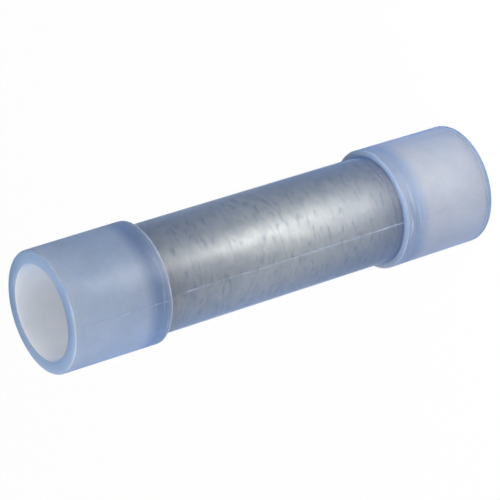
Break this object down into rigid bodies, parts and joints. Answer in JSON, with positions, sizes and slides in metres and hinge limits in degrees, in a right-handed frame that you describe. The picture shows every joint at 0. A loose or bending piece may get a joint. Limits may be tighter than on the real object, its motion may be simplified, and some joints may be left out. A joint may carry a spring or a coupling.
{
  "type": "insulated butt splice connector",
  "caption": "Translucent blue nylon sleeve with a bell mouth at each end round a tin-plated barrel, for joining wires end to end by crimping.",
  "frame": {"origin": "centre of the flat annular end of the lower bell, on the surface that the connector stands on", "axes": "+Z along the connector's axis, from the lower bell to the upper one; the barrel's pressed wire stop is on the +Y side"},
  "size_m": [0.0066, 0.0066, 0.0266],
  "materials": {
    "blue_nylon": "translucent moulded nylon, milky light blue, satin",
    "tin_plate": "tin-plated copper, soft mottled satin"
  },
  "bodies": {
    "root": {"insulating_sleeve": "blue_nylon", "conductor_barrel": "tin_plate"}
  },
  "joints": []
}
